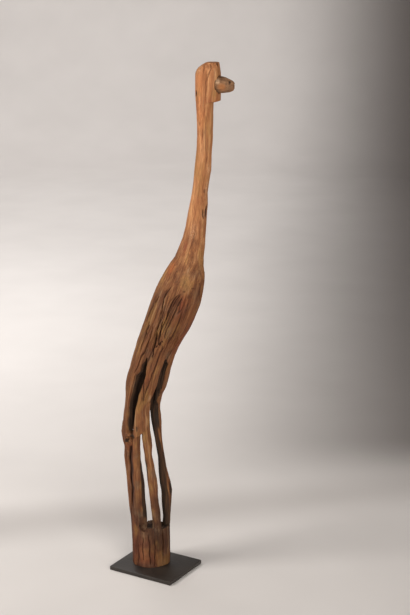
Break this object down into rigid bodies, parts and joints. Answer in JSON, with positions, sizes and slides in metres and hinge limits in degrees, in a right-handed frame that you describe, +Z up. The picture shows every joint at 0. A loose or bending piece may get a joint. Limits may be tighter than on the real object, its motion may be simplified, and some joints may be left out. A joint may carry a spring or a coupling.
{
  "type": "funerary bird sculpture",
  "caption": "Tall weathered wooden bird with an upright neck, a stub beak and worn slit legs, carved from a post and standing on a flat metal plate.",
  "frame": {"origin": "centre of the base plate's underside", "axes": "+X the way the bird faces, along the plate's longer side, +Y the bird's left, +Z up; the head and beak are turned 17 degrees to the left of +X"},
  "size_m": [0.305, 0.15, 1.279],
  "materials": {
    "weathered_wood": "dry, cracked and eroded hardwood, orange-brown at the head and dark in the hollows",
    "beak_wood": "dry, greyish-brown weathered hardwood",
    "dark_steel": "blackened satin steel"
  },
  "bodies": {
    "root": {"bird": "weathered_wood", "beak_peg": "beak_wood", "base_plate": "dark_steel"}
  },
  "joints": []
}
